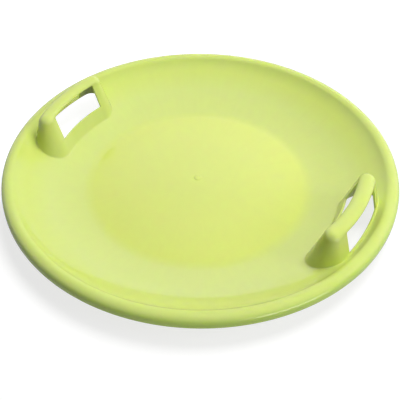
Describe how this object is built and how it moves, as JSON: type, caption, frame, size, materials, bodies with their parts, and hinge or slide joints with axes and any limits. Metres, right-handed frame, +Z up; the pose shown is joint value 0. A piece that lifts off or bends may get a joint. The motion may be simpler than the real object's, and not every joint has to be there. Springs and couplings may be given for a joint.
{
  "type": "saucer sled",
  "caption": "Round saucer snow sled: a shallow dish with a low domed middle and a rolled rim, and hollow arched hand grips standing inside the rim on opposite sides.",
  "frame": {"origin": "on the ground at the centre of the running ring, under the middle of the saucer", "axes": "+Z up out of the seat side, +X through the middle of the right hand grip, +Y forwards between the grips"},
  "size_m": [0.6, 0.6, 0.082],
  "materials": {
    "moulded_plastic": "lime polyethylene, injection moulded, semi-gloss"
  },
  "bodies": {
    "root": {"saucer": "moulded_plastic", "handle_left": "moulded_plastic", "handle_right": "moulded_plastic"}
  },
  "joints": []
}
